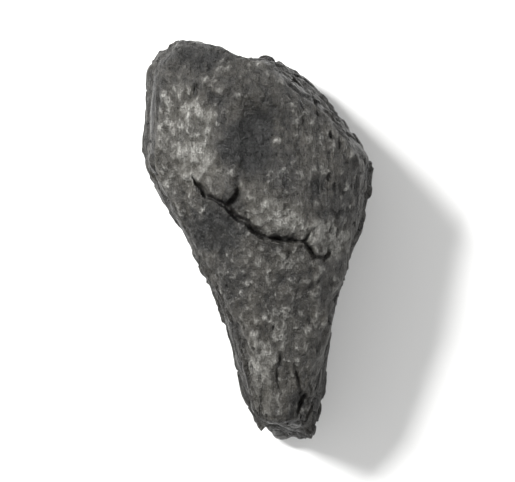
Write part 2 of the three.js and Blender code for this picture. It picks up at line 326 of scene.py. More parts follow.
# Pits that splinters left: how far apart they may lie, how uneven their sides are, which of them
# are there, their least and further random depth, and where their sides begin and end
PITS = {
    "size": (1.2, 2.3, 1.2),
    "uneven": 0.16,
    "uneven_size": (0.5, 0.9, 0.5),
    "there": (0.5, 0.75),
    "shallowest": 0.3,
    "deeper": 0.7,
    "side": (0.12, 0.4),
}

# Pores of the ends: how far apart they lie, their reach, and how steep their sides are
PORE_HOLES = {"size": 1.25, "reach": 0.42, "side": 0.25}

# Roughness of all broken faces: its size across, along and up, and the size of the finer one
ROUGH_SIZE = (2.4, 6.5, 2.4)
FINE_ROUGH_SIZE = 1.25

# Heights and depths of the relief, in millimetres
HEIGHTS = {
    "roughness": 0.2,
    "fine roughness": 0.05,
    "fine roughness, more on the upper face": 0.12,
    "fibres": 0.2,
    "fine fibres": 0.16,
    "fine rings": 0.3,
    "fibres of the upper face": 0.08,
    "fine fibres of the upper face": 0.06,
    "seams": 0.45,
    "pits": 0.7,
    "pores": 0.12,
    "crumbs of the ends": 0.12,
    "crumbs": 0.08,
    "crumbs, more on the upper face": 0.42,
    "crumbs, more where it is light": 0.3,
}

# How much of a kind of relief there is, or how much of it some faces lose
SHARES = {
    "lost on the upper face": 0.88,
    "columns, lost on the ends": 0.5,
    "columns, lost at edges": 0.6,
    "seams, lost on the ends": 0.6,
    "seams, lost on the upper face": 0.92,
    "chips": 0.8,
    "pits": 0.4,
    "pits, more on the upper face": 0.6,
    # How strong the painted shade in the seams is
    "painted shade in seams": 0.8,
}

# What stands out is rubbed off first: relief stands out less than this, or on the upper face
# less than twice this
RUBBED_OFF = 0.35

# Relief that comes and goes over the lump: the salt and the size of the noise that it follows,
# and between which of its values it comes
COMES_AND_GOES = {
    "columns": (51, 9, -0.4, 0.3),
    "seams": (109, 7.5, -0.35, 0.25),
    "radial checks": (103, 8, -0.1, 0.3),
    "pits": (159, 6, -0.7, 0.2),
}

# The salt that each other pattern's hashed numbers start from
SALT = {
    "patch in x": 11,
    "patch in y": 17,
    "column": 21,
    "column bend": 23,
    "column length": 25,
    "column end": 27,
    "column start": 29,
    "column tilt": 31,
    "column height": 37,
    "chip": 41,
    "chip tilt": 43,
    "chip depth": 47,
    "chipped edge": 53,
    "fibre wander": 57,
    "fibre": 59,
    "fine fibre": 61,
    "pore": 67,
    "crumb": 71,
    "crumb height": 73,
    "roughness": 79,
    "fine roughness": 83,
    "crack wander": 83,
    "ragged crack": 89,
    "ray": 97,
    "radial check": 101,
    "fine crumb": 137,
    "fine crumb height": 139,
    "pit": 151,
    "pit there": 153,
    "pit depth": 155,
    "pit side": 157,
}

# Hashed numbers are the broken part of a huge sine, of a cell's place and a salt
HASH_PLACE = np.array([127.1, 311.7, 74.7])
HASH_SALT = 53.7
HASH_HEIGHT = 43758.5453

# Farther than any grain lies from a point, in cells
NO_GRAIN = 9.0


def hashed(cell, salt):
    """A repeatable number in 0..1 for each whole-number cell: the broken part of a huge sine."""
    wave = np.sin(cell @ HASH_PLACE + HASH_SALT * salt) * HASH_HEIGHT
    return wave - np.floor(wave)


def smoothstep(x, low, high):
    """0 below low, 1 above high, and 3t^2 - 2t^3 between them."""
    t = np.clip((x - low) / (high - low), 0, 1)
    return t * t * (3 - 2 * t)


def noise(p, salt):
    """Smooth noise in -1..1: the hashed numbers of the eight whole points round p, blended."""
    cell = np.floor(p)
    t = p - cell
    t = t * t * (3 - 2 * t)
    total = np.zeros(len(p))
    for corner in itertools.product((0, 1), repeat=3):
        share = np.prod(np.where(corner, t, 1 - t), axis=1)
        total += share * hashed(cell + np.array(corner), salt)
    return 2 * total - 1


def fractal(p, salt, octaves=3):
    """Noise added to itself at twice the pitch and half the height, brought back to -1..1."""
    total = sum(noise(p * 2**k, salt + k) / 2**k for k in range(octaves))
    return total / (2 - 2.0 ** (1 - octaves))


def comes_and_goes(p, name):
    """Noise turned to 0 in some patches of the lump and 1 in others, with soft borders."""
    salt, size, low, high = COMES_AND_GOES[name]
    return smoothstep(noise(p / size, salt), low, high)


def nearest_grains(p, salt):
    """One random point per unit cell is a grain. Gives the distance to the nearest grain and to
    the second nearest, the nearest grain's own place and its cell."""
    base = np.floor(p)
    nearest = np.full(len(p), NO_GRAIN)
    second = np.full(len(p), NO_GRAIN)
    place = np.zeros_like(p)
    home = np.zeros_like(p)
    for step in itertools.product((-1, 0, 1), repeat=3):
        cell = base + np.array(step)
        jitter = np.stack([hashed(cell, salt + k) for k in range(3)], axis=1)
        grain = cell + jitter
        distance = np.linalg.norm(p - grain, axis=1)
        closer = distance < nearest
        second = np.where(closer, nearest, np.minimum(second, distance))
        nearest = np.where(closer, distance, nearest)
        place[closer] = grain[closer]
        home[closer] = cell[closer]
    return nearest, second, place, home


def swell(p, wavelength, height, phase):
    """A sum of plane waves whose directions are spread evenly over a sphere."""
    i = np.arange(WAVES)
    rise = 1 - (2 * i + 1) / WAVES
    flat = np.sqrt(1 - rise**2)
    turn = i * GOLDEN_ANGLE + phase
    ways = np.stack([flat * np.cos(turn), flat * np.sin(turn), rise])
    waves = np.sin(2 * np.pi * (p @ ways) / wavelength + phase * (i + 1))
    return height * waves.sum(axis=1) / math.sqrt(WAVES)


def soft_max(distances, radius):
    """The largest of each row of distances, rounded over a radius: r log sum exp(d / r)."""
    top = distances.max(axis=1, keepdims=True)
    return top[:, 0] + radius * np.log(np.exp((distances - top) / radius).sum(axis=1))


def plane_distances(faces, p):
    """The signed distance from each point to each face's plane, positive outside it."""
    at = np.array([face[0] for face in faces.values()], dtype=float)
    facing = np.array([face[1] for face in faces.values()], dtype=float)
    facing /= np.linalg.norm(facing, axis=1, keepdims=True)
    return p @ facing.T - (at * facing).sum(axis=1)


def ring_radius(p):
    """The distance from the pith, which wanders, with good years pulled wider."""
    across = p[:, 0] - PITH["x"] - PITH["lean"] * p[:, 1]
    radius = np.hypot(across, p[:, 2] - PITH["z"]) + swell(p, *RING_WANDER)
    return radius + GOOD_YEARS["height"] * np.sin(2 * np.pi * radius / GOOD_YEARS["wavelength"])


def ring_profile(grown, peak):
    """Rises slowly over the given share of each ring's width and falls over the rest, 0..1."""
    share = grown - np.floor(grown)
    return smoothstep(share, 0, peak) - smoothstep(share, peak, 1)


def ring_ridge(p):
    """Each ring rises slowly and ends in a steeper edge. The ridges are low on the upper face
    and worn in patches."""
    profile = ring_profile(ring_radius(p) / RING_WIDTH, RING_EDGE)
    on_top = smoothstep(p[:, 2], *UPPER_FACE)
    height = RING_RIDGE + (RING_RIDGE_ON_TOP - RING_RIDGE) * on_top
    worn = np.clip(RING_WEAR["usual"] + swell(p, *RING_FADE), RING_WEAR["least"], 1)
    return height * worn * (profile - 0.5)


def hollow(p):
    """A dip that falls away from the left facet and rises gently to the right."""
    x, y, z = p.T
    left = HOLLOW["x"] - HOLLOW["fall"]
    right = HOLLOW["x"] + HOLLOW["fall"]
    across = smoothstep(x, left, right) * (1 - smoothstep(x, right, HOLLOW["x"] + HOLLOW["reach"]))
    half = HOLLOW["half_length"]
    along = 1 - smoothstep(np.abs(y - HOLLOW["y"]), half / 2, half)
    return HOLLOW["depth"] * across * along * smoothstep(z, *UPPER_FACE)


def end_dip(p):
    """The dip in the head's end is deepest in its middle and runs out to both sides."""
    across = 1 - smoothstep(np.abs(p[:, 0] - END_DIP["x"]), 0, END_DIP["half_width"])
    return END_DIP["depth"] * across * smoothstep(p[:, 1], *END_DIP["stretch"])


def splinters(p):
    """Fibres of the tail's end stand out by different lengths."""
    fibre = p * np.array([1, 0, 1])
    return swell(fibre, *SPLINTERS) * smoothstep(-p[:, 1], *SPLINTERS_BETWEEN)


def lump_distance(p):
    """The signed distance to the lump's surface, negative inside: the nearer of head and tail,
    each bounded by its faces, moved by swells, rings, the hollow and the dip in the end."""
    head = soft_max(plane_distances(HEAD_FACES, p), EDGE_WEAR)
    tail = soft_max(plane_distances(TAIL_FACES, p), EDGE_WEAR) + splinters(p)
    form = -soft_max(-np.stack([head, tail], axis=1), NECK_BLEND)
    worn = swell(p, *BROAD_SWELL) + swell(p, *SMALL_SWELL) + ring_ridge(p)
    return form + worn + hollow(p) + end_dip(p)


def block_skin():
    """The skin of a block as a lattice of its two parameters on each of the six sides: unit
    places (0..1 along x, y and z) and four-sided faces that look outwards."""
    i, j, k = np.indices([n + 1 for n in CELLS])
    lattice = np.stack([i, j, k], axis=-1)
    on_skin = ((lattice == 0) | (lattice == np.array(CELLS))).any(axis=-1)
    number = (np.cumsum(on_skin) - 1).reshape(on_skin.shape)
    sides = [
        (number[0], True),
        (number[-1], False),
        (number[:, 0], False),
        (number[:, -1], True),
        (number[:, :, 0], True),
        (number[:, :, -1], False),
    ]
    quads = []
    for side, turned in sides:
        ring = [side[:-1, :-1], side[1:, :-1], side[1:, 1:], side[:-1, 1:]]
        if turned:
            ring.reverse()
        quads.append(np.stack(ring, axis=-1).reshape(-1, 4))
    return lattice[on_skin] / np.array(CELLS), np.concatenate(quads)


def crowded(share):
    """Spreads 0..1 over the length so that the rows lie closer together round the crack."""
    y = np.linspace(-LENGTH / 2, LENGTH / 2, CROWD_SAMPLES)
    from_crack = (y - CRACK_ZONE["y"]) / CRACK_ZONE["reach"]
    crowd = 1 + CRACK_ZONE["denser"] * np.exp(-(from_crack**2))
    run = np.concatenate([[0], np.cumsum((crowd[1:] + crowd[:-1]) / 2)])
    return np.interp(share * run[-1], run, y)


def carved_block():
    """Each point of the block's skin moves along its ray from the core to the surface, which is
    found by halving the stretch that holds the crossing."""
    unit, quads = block_skin()
    y = crowded(unit[:, 1])
    share = (0.5 + y / LENGTH)[:, None]
    start = CORE_TAIL + (CORE_HEAD - CORE_TAIL) * share
    corner = np.stack([(unit[:, 0] - 0.5) * WIDTH, y, (unit[:, 2] - 0.5) * HEIGHT], axis=1)
    direction = np.stack([corner[:, 0], corner[:, 1] - start[:, 1], corner[:, 2]], axis=1)
    direction /= np.linalg.norm(direction, axis=1, keepdims=True)
    inside = np.zeros(len(unit))
    outside = np.full(len(unit), float(RAY_LENGTH))
    for _ in range(RAY_STEPS):
        middle = (inside + outside) / 2
        within = lump_distance(start + direction * middle[:, None]) < 0
        inside = np.where(within, middle, inside)
        outside = np.where(within, outside, middle)
    return start + direction * inside[:, None], quads


def point_normals(points, quads):
    """The unit sum of the cross products of the diagonals of the faces round each point."""
    a, b, c, d = (points[quads[:, k]] for k in range(4))
    facing = np.cross(c - a, d - b)
    total = np.zeros_like(points)
    for k in range(4):
        np.add.at(total, quads[:, k], facing)
    return total / np.linalg.norm(total, axis=1, keepdims=True)


def eased(normals, quads):
    """Blends each normal with those of the faces round it, over about a millimetre, so that
    relief carved along them doesn't fold over itself at an edge."""
    for _ in range(EASING_ROUNDS):
        middle = normals[quads].mean(axis=1)
        total = np.zeros_like(normals)
        for k in range(4):
            np.add.at(total, quads[:, k], middle)
        normals = total / np.linalg.norm(total, axis=1, keepdims=True)
    return normals


def edge_nearness(p):
    """1 on the edges between broken faces, falling away over a millimetre or two: the two
    nearest faces are about equally far there."""
    head = np.sort(plane_distances(HEAD_FACES, p), axis=1)
    tail = np.sort(plane_distances(TAIL_FACES, p), axis=1)
    on_head = head[:, -1] < tail[:, -1]
    gap = np.where(on_head, head[:, -1] - head[:, -2], tail[:, -1] - tail[:, -2])
    return np.exp(-((gap / EDGE_REACH) ** 2))


def tone_and_light_patches(p):
    """The sum of the patches' soft ovals, each broken up at its border by noise: partly the lump's
    own tone and partly painted light and shade.
    """
    x, y, z = p.T
    place = p / PATCH_BORDER["size"]
    salts = (SALT["patch in x"], SALT["patch in y"])
    wander = np.stack([fractal(place, salt) for salt in salts], axis=1) * PATCH_BORDER["shift"]
    tone_and_light = np.zeros(len(p))
    for at_x, at_y, half_x, half_y, turn, light in TONE_AND_LIGHT_PATCHES.values():
        c, s = math.cos(math.radians(turn)), math.sin(math.radians(turn))
        dx = x + wander[:, 0] - at_x
        dy = y + wander[:, 1] - at_y
        reach = np.hypot((dx * c + dy * s) / half_x, (dy * c - dx * s) / half_y)
        tone_and_light += light * (1 - smoothstep(reach, *PATCH_BORDER["fade"]))
    return tone_and_light * smoothstep(z, *UPPER_FACE)


def split_columns(p):
    """Charred wood splits along its fibres and snaps across them: columns a few millimetres wide
    that run along the grain, snapped into lengths that each stand out by their own height. Gives
    the height in millimetres, and how near each point is to a seam, 0..1."""
    width = COLUMNS["width"]
    place = p / np.array(COLUMNS["bend_size"])
    bend = np.stack([noise(place, SALT["column bend"] + k) for k in (0, 4)], axis=1)
    bent = (p + COLUMNS["bend"] * bend @ np.array([[1, 0, 0], [0, 0, 1]])) / width
    across = bent * np.array([1, 0, 1])
    near, second, middle, home = nearest_grains(across, SALT["column"])
    length = COLUMNS["shortest"] + COLUMNS["longer"] * hashed(home, SALT["column length"])
    ragged = COLUMNS["ragged"] * noise(p / COLUMNS["ragged_size"], SALT["column end"])
    run = (p[:, 1] + ragged) / length + COLUMNS["stagger"] * hashed(home, SALT["column start"])
    piece = home.copy()
    piece[:, 1] += CELLS_TO_NEXT_PIECE * np.floor(run)
    slopes = [hashed(piece, SALT["column tilt"] + k) - 0.5 for k in (0, 2)]
    tilt = np.stack(slopes, axis=1) * COLUMNS["tilt"]
    lean = ((across - middle)[:, [0, 2]] * tilt).sum(axis=1)
    height = COLUMNS["stand_out"] * (hashed(piece, SALT["column height"]) - 0.5) + width * lean
    from_side = (second - near) * width / 2
    from_end = (0.5 - np.abs(run - np.floor(run) - 0.5)) * length
    seam = 1 - smoothstep(np.minimum(from_side, from_end), *COLUMNS["seam"])
    return height, seam * comes_and_goes(p, "seams")


def broken_chips(p):
    """Brittle chips: flat scars a few millimetres across, each tilted its own way."""
    size = CHIPS["size"]
    _, _, middle, home = nearest_grains(p / size, SALT["chip"])
    slopes = [hashed(home, SALT["chip tilt"] + k) - 0.5 for k in range(3)]
    tilt = np.stack(slopes, axis=1) * CHIPS["tilt"]
    flat = ((p - middle * size) * tilt).sum(axis=1)
    return np.minimum(flat - hashed(home, SALT["chip depth"]) * CHIPS["depth"], CHIPS["stand_out"])


def end_rings(p):
    """The broken end of the wood: rings round the pith, each rising to its late wood, crossed by
    rays that run outwards and by deeper radial checks. Gives the rise, and how dark each point
    is: the late wood's own dark colour, and painted shade in the radial checks."""
    radius = ring_radius(p)
    grown = radius / RING_WIDTH * FINE_RINGS["end"]
    ring = grown - np.floor(grown)
    angle = np.arctan2(p[:, 2] - PITH["z"], p[:, 0] - PITH["x"])
    outwards = radius / RAYS["length"]
    sideways = angle * radius.mean() / RAYS["width"]
    around = np.stack([outwards, sideways, p[:, 1] / RAYS["along"]], axis=1)
    ray = noise(around, SALT["ray"])
    split = noise(around * np.array(RADIAL_CHECKS["drawn_out"]), SALT["radial check"])
    radial_check = 1 - smoothstep(np.abs(split), *RADIAL_CHECKS["width"])
    radial_check *= comes_and_goes(p, "radial checks")
    late_wood = smoothstep(ring, *LATE_WOOD["begins"]) * (1 - smoothstep(ring, *LATE_WOOD["ends"]))
    dark = np.maximum(radial_check, LATE_WOOD["dark"] * late_wood)
    rise = END_RING_HEIGHT * ring_profile(grown, FINE_RINGS["peak"]) + RAYS["height"] * ray
    return rise - RADIAL_CHECKS["depth"] * radial_check, dark


def crumbs(p):
    """Crumbled cells of a rubbed face: a rounded grain round each random point, about 2 mm apart
    and again at half that pitch, each grain with its own height. Above 0 on the grains."""
    near, _, _, home = nearest_grains(p / CRUMBS["size"], SALT["crumb"])
    fine_near, _, _, fine_home = nearest_grains(p / FINE_CRUMBS["size"], SALT["fine crumb"])
    height = CRUMBS["least"] + CRUMBS["more"] * hashed(home, SALT["crumb height"])
    fine_height = FINE_CRUMBS["least"] + hashed(fine_home, SALT["fine crumb height"])
    return (0.5 - near) * height + FINE_CRUMBS["height"] * (0.5 - fine_near) * fine_height


def fallen_out(p):
    """Pits, 0..1 deep, where a splinter has fallen out: about four in ten of a scatter of points,
    each under 1 mm wide and twice as long, with steep, uneven sides."""
    near, _, _, home = nearest_grains(p / np.array(PITS["size"]), SALT["pit"])
    uneven = near + PITS["uneven"] * noise(p / np.array(PITS["uneven_size"]), SALT["pit side"])
    there = smoothstep(hashed(home, SALT["pit there"]), *PITS["there"])
    deep = there * (PITS["shallowest"] + PITS["deeper"] * hashed(home, SALT["pit depth"]))
    return deep * (1 - smoothstep(uneven, *PITS["side"]))


def fibres(p):
    """Coarse and fine fibres, -1..1: noise drawn out along the grain, which wanders."""
    way = np.array(FIBRE_WANDER["way"])
    stray = noise(p / np.array(FIBRE_WANDER["size"]), SALT["fibre wander"])
    wander = FIBRE_WANDER["shift"] * stray[:, None] * way
    fibre = noise((p + wander) / np.array(FIBRE_SIZE), SALT["fibre"])
    return fibre, noise((p + wander) / np.array(FINE_FIBRE_SIZE), SALT["fine fibre"])


def pores(p):
    """Open vessels of the ends: holes round a scatter of points, 0 outside them and -1 inside."""
    near, _, _, _ = nearest_grains(p / PORE_HOLES["size"], SALT["pore"])
    return -smoothstep(PORE_HOLES["reach"] - near, 0, PORE_HOLES["side"])


def relief(p, end_grain, on_top, edge, tone_and_light, crumb):
    """The sum of the roughness, columns, chips, fibres, rings, seams, pits, pores and crumbs, each
    a formula of the place in the lump, with what stands out rubbed off. Gives how far the skin
    stands out or in, in millimetres, how dark each point is, 0..1, which is painted shade in
    seams, radial checks and pits and the late wood's own dark colour, and the height of the
    fibres."""
    along_grain = 1 - end_grain
    calm = 1 - SHARES["lost on the upper face"] * on_top
    stray = CHIPPED_EDGES["shift"] * noise(p / CHIPPED_EDGES["size"], SALT["chipped edge"])
    chipped = smoothstep(edge + stray, *CHIPPED_EDGES["edge"])
    fibre, fine_fibre = fibres(p)
    fine_ring = ring_profile(ring_radius(p) / RING_WIDTH * FINE_RINGS["side"], FINE_RINGS["peak"])

    column, seam = split_columns(p)
    column_share = 1 - SHARES["columns, lost on the ends"] * end_grain
    column_share = column_share * (1 - SHARES["columns, lost at edges"] * edge)
    column_share = column_share * comes_and_goes(p, "columns")
    seam = seam * (1 - SHARES["seams, lost on the ends"] * end_grain)
    seam = seam * (1 - SHARES["seams, lost on the upper face"] * on_top)
    pit_share = SHARES["pits"] + SHARES["pits, more on the upper face"] * on_top
    pit = fallen_out(p) * pit_share * comes_and_goes(p, "pits")
    end_face, end_dark = end_rings(p)

    fine_rough = HEIGHTS["fine roughness, more on the upper face"] * on_top
    fine_rough = HEIGHTS["fine roughness"] + fine_rough
    on_sides = HEIGHTS["fibres"] * fibre + HEIGHTS["fine fibres"] * fine_fibre
    on_sides = on_sides + HEIGHTS["fine rings"] * (fine_ring - 0.5)
    on_upper = HEIGHTS["fibres of the upper face"] * fibre
    on_upper = on_upper + HEIGHTS["fine fibres of the upper face"] * fine_fibre
    on_ends = end_face + HEIGHTS["pores"] * pores(p) + HEIGHTS["crumbs of the ends"] * crumb
    crumbly = HEIGHTS["crumbs"] + HEIGHTS["crumbs, more on the upper face"] * on_top
    crumbly = crumbly + HEIGHTS["crumbs, more where it is light"] * np.clip(tone_and_light, 0, 1)

    rough = HEIGHTS["roughness"] * fractal(p / np.array(ROUGH_SIZE), SALT["roughness"])
    rough += fine_rough * fractal(p / FINE_ROUGH_SIZE, SALT["fine roughness"], 2)
    rough += column_share * calm * column
    rough += SHARES["chips"] * chipped * calm * broken_chips(p)
    rough += along_grain * calm * on_sides
    rough += along_grain * on_top * on_upper
    rough -= HEIGHTS["seams"] * seam + HEIGHTS["pits"] * pit
    rough += end_grain * on_ends
    rough += crumbly * crumb
    most = RUBBED_OFF * (1 + on_top)
    rough = np.where(rough > 0, most * np.tanh(rough / most), rough)
    # Painted shade in seams, radial checks and pits, with the late wood's own dark colour
    dark = np.maximum(SHARES["painted shade in seams"] * seam, end_grain * end_dark)
    return rough, np.maximum(dark, pit), fibre + FINE_FIBRE_SHARE * fine_fibre


def crack_grooves(p, normals):
    """Grooves along the cracks' routes with steep, ragged walls: the depth is full over the
    middle and falls to nothing at half the width, and the route wanders by noise. Gives how far
    each point sinks, the way it sinks, and how deep in a crack it is, 0..1, which sets the
    painted shade inside the crack."""
    sink = np.zeros(len(p))
    way = np.zeros_like(p)
    inside = np.zeros(len(p))
    place = p / CRACK_WANDER["size"]
    wander = np.stack([noise(place, SALT["crack wander"] + k) for k in range(3)], axis=1)
    strayed = p + CRACK_WANDER["shift"] * wander
    ragged = CRACK_RAGGED["shift"] * fractal(p / CRACK_RAGGED["size"], SALT["ragged crack"], 2)
    for face, route in CRACKS.values():
        out, (u, v) = FACE_OUT[face]
        out = np.array(out, dtype=float)
        looks_out = smoothstep(normals @ out, *CRACK_FACING)
        place = strayed[:, [u, v]]
        for (u0, v0, w0, d0), (u1, v1, w1, d1) in itertools.pairwise(route):
            start = np.array([u0, v0])
            run = np.array([u1 - u0, v1 - v0])
            t = np.clip(((place - start) @ run) / (run @ run), 0, 1)
            gap = np.linalg.norm(place - start - t[:, None] * run, axis=1) + ragged
            half = (w0 + (w1 - w0) * t) / 2
            depth = d0 + (d1 - d0) * t
            share = np.clip((1 - np.maximum(gap, 0) / half) * CRACK_STEEP, 0, 1) * looks_out
            deeper = share * depth > sink
            sink = np.where(deeper, share * depth, sink)
            way = np.where(deeper[:, None], out, way)
            inside = np.maximum(inside, share * smoothstep(depth, 0, CRACK_DARKEST))
    return sink, way, inside


def fitted(points):
    """Moves and stretches the points' own box to the box of the solid that they replace, by a
    per cent or so."""
    low, high = points.min(axis=0), points.max(axis=0)
    cad_low, cad_high = np.array(CAD_LOW) / MM, np.array(CAD_HIGH) / MM
    scale = (cad_high - cad_low) / (high - low)
    return cad_low + (points - low) * scale


def make_lump():
    """The finished skin of the lump, with the values that its material reads stored on it."""
    points, quads = carved_block()
    normals = point_normals(points, quads)
    end_grain = smoothstep(np.abs(normals[:, 1]), *END_GRAIN_FACING)
    edge = edge_nearness(points)
    # Patches of the upper face: partly the lump's own tone, partly painted light and shade
    tone_and_light = tone_and_light_patches(points)
    on_top = smoothstep(points[:, 2], *UPPER_FACE) * smoothstep(normals[:, 2], *UPPER_FACING)
    crumb = crumbs(points)
    stand_out, check, grain = relief(points, end_grain, on_top, edge, tone_and_light, crumb)
    carved = points + eased(normals, quads) * stand_out[:, None]
    sink, way, inside = crack_grooves(points, normals)
    carved = carved - way * sink[:, None]
    # What stands out below the flat spot that the lump rests on is pressed flat
    carved[:, 2] = np.maximum(carved[:, 2], 0)

    mesh = bpy.data.meshes.new("charcoal_lump_skin")
    mesh.from_pydata(fitted(carved) * MM, [], quads, shade_flat=False)
    # check holds painted shade of seams, radial checks and pits, and the late wood's dark colour
    stored = {
        "end_grain": end_grain,
        "on_top": on_top,
        "edge": edge,
        "tone_and_light": tone_and_light,
        "check": check,
        "grain": grain,
        "crumb": crumb,
        # crack holds how deep in a crack a point is, which sets the crack's painted shade
        "crack": inside,
    }
    for name, values in stored.items():
        attribute = mesh.attributes.new(name, "FLOAT", "POINT")
        attribute.data.foreach_set("value", values.astype(np.float32))
    mesh.update()
    lump = bpy.data.objects.new("charcoal_lump_skin", mesh)
    bpy.context.scene.collection.objects.link(lump)
    return lump


def srgb(code):
    """Turns an sRGB hex colour to linear red, green, blue and an alpha of 1, by the curve that
    the sRGB standard gives."""
    shares = [int(code[i:i + 2], 16) / 255 for i in (1, 3, 5)]
    linear = [s / 12.92 if s <= 0.04045 else ((s + 0.055) / 1.055) ** 2.4 for s in shares]
    return (*linear, 1)


def add(tree, kind, inputs=None, output=0, **settings):
    """Adds a node, with its settings, and with a value or another node's output on each input.
    Gives one of its outputs, by number or name, or None for the node that ends the material."""
    node = tree.nodes.new(kind)
    for name, value in settings.items():
        setattr(node, name, value)
    for name, value in (inputs or {}).items():
        if isinstance(value, bpy.types.NodeSocket):
            tree.links.new(value, node.inputs[name])
        else:
            node.inputs[name].default_value = value
    return node.outputs[output] if len(node.outputs) else None


def new_material(name):
    material = bpy.data.materials.new(name)
    material.use_nodes = True
    material.node_tree.nodes.clear()
    return material, material.node_tree


# Hardwood charcoal, from a kiln: carbon that keeps the wood's cells. It is black with a satin
# sheen along its fibres. Broken faces glitter where cell walls catch the light, helped by painted
# glints in the ash coat, and dust and a trace of ash grey the rough spots.
# CHAR_DEEP is mostly painted shade, in pits, seams, checks, cracks, hairlines and pores; it also
# gives the late wood's own dark colour and the darker patches' own tone
CHAR_DEEP = "#0b0b0a"
CHAR_DARK = "#171615"
CHAR_BODY = "#32302c"
CHAR_WORN = "#4a4741"
# The colour of the lighter patches: partly the lump's own tone, partly painted light
CHAR_TONE_AND_PAINTED_LIGHT = "#5b5953"
# Ash grey: real ash and dust, and painted glints on the broken faces
CHAR_ASH_AND_PAINTED_GLINTS = "#a1a09b"
CHAR_IOR = 1.45

# The noises of the charcoal, in features to the millimetre. Fibres are vessels and cell walls
# 0.2 to 0.5 mm across, drawn out 20 times along the grain
FIBRES = {"Scale": 2, "Detail": 5, "Roughness": 0.65}
FINE_FIBRES = {"Scale": 4.5, "Detail": 3, "Roughness": 0.6}
FIBRE_SHAPE = (1, 0.05, 1)
MOTTLING = {"Scale": 0.2, "Detail": 5, "Roughness": 0.6}
SPECKLES = {"Scale": 0.8, "Detail": 5, "Roughness": 0.6}
SPECKLE_SHAPE = (1.3, 0.95, 1.3)
DUST = {"Scale": 3.4, "Detail": 4, "Roughness": 0.6}

# Hairline checks, with painted shade inside them: a net drawn out along the grain, with cells
# 3 by 8 mm, that noise bends
NET_SHAPE = (0.34, 0.13, 0.34)
NET_CELLS = {"Scale": 1}
NET_BEND = {"Scale": 0.6, "Detail": 4}
NET_BEND_SHARE = 0.08

# Pores of the end grain: open vessels 0.15 to 0.3 mm across, darkened with painted shade
PORES = {"Scale": 2.4, "Randomness": 0.9}

# How much of the carved fibres and crumbs, and of the patches of own tone and painted light
# and shade, is added to the noises
CARVED_FIBRE_SHARE = 0.07
CARVED_CRUMB_SHARE = 0.3
TONE_AND_LIGHT_SHARE = 0.16

# How far each feature shows: the pattern that it follows, two values of it, and the share of the
# feature at each of them. The shares of "shine" are the roughness itself
SHOWS = {
    "lighter fibres": ("fibres", 0.36, 0.68, 0, 1),
    "worn mottles": ("mottling", 0.42, 0.72, 0, 0.6),
    # Lighter patches: partly the lump's own tone, partly painted light
    "lighter tone and painted light": ("tone_and_light", 0, 1, 0, 0.7),
    "speckles": ("upper face", 0, 1, 0.3, 1),
    "powder": ("dust", 0.42, 0.56, 0.3, 1),
    "powder along fibres": ("fine fibres", 0.42, 0.56, 0.6, 1.15),
    # Ash and dust, with painted glints, where the grains are high
    "ash and painted glints": ("grains", 0.55, 0.75, 0, 0.95),
    # Painted shade in the pits between the crumbs, where the grains are low
    "painted shade in pits": ("grains", 0.45, 0.33, 0, 0.75),
    "worn edges": ("dusty edges", 0.38, 0.7, 0, 0.6),
    # Darker patches: partly the lump's own tone, partly painted shade
    "darker tone and painted shade": ("tone_and_light", 0, -1.5, 0, 1),
    "stretches of the net": ("mottling", 0.46, 0.56, 0, 1),
    "net off the upper face": ("upper face", 0, 0.5, 1, 0),
    # Painted shade in the hairline checks
    "hairlines": ("net", 0.008, 0.03, 1, 0),
    # Painted shade in the pores of the end grain
    "pores": ("pore net", 0.12, 0.34, 1, 0),
    "shine": ("dust", 0.3, 0.7, 0.2, 0.46),
    "crumbs": ("tone_and_light", 0, 0.8, 0.35, 1),
}

# How dark the painted shade in cracks, carved checks and hairlines is, and how much duller ash is
CRACK_SHADE = 0.3
CHECK_SHADE = 0.8
HAIRLINE_SHADE = 0.85
ASH_DULLNESS = 0.4

# Bumps: height in millimetres and strength
BUMPS = {
    "fibres": (0.3, 1),
    "speckles": (0.8, 1),
    "crumbs": (0.4, 1),
    "hairlines": (0.3, 1),
    "pores": (0.25, 0.9),
}


